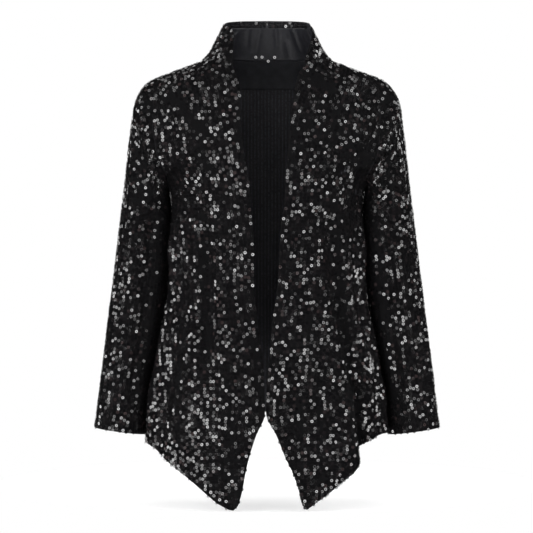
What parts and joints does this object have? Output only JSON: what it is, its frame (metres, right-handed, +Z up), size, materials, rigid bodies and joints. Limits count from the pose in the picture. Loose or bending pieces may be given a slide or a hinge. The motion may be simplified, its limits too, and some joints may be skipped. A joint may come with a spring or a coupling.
{
  "type": "open-front sequin jacket, held by its wearer's shoulders",
  "caption": "Open-front longline jacket in black sequin cloth with a standing collar grown on from the fronts, long sleeves and pointed front hems.",
  "frame": {"origin": "between the wearer's shoulders at the height of the neck line, where the wearer holds the jacket up", "axes": "+Z up, +X towards the wearer's left, the front faces -Y"},
  "size_m": [0.538, 0.2311, 0.7529],
  "materials": {
    "sequin_cloth": "black knit set with glossy black 5 mm sequins",
    "satin": "black satin, soft sheen",
    "plain_knit": "smooth matt black knit"
  },
  "bodies": {
    "root": {"back": "sequin_cloth", "left_front": "sequin_cloth", "right_front": "sequin_cloth", "left_sleeve": "sequin_cloth", "right_sleeve": "sequin_cloth", "collar_facing": "satin", "back_neck_facing": "plain_knit"}
  },
  "joints": []
}
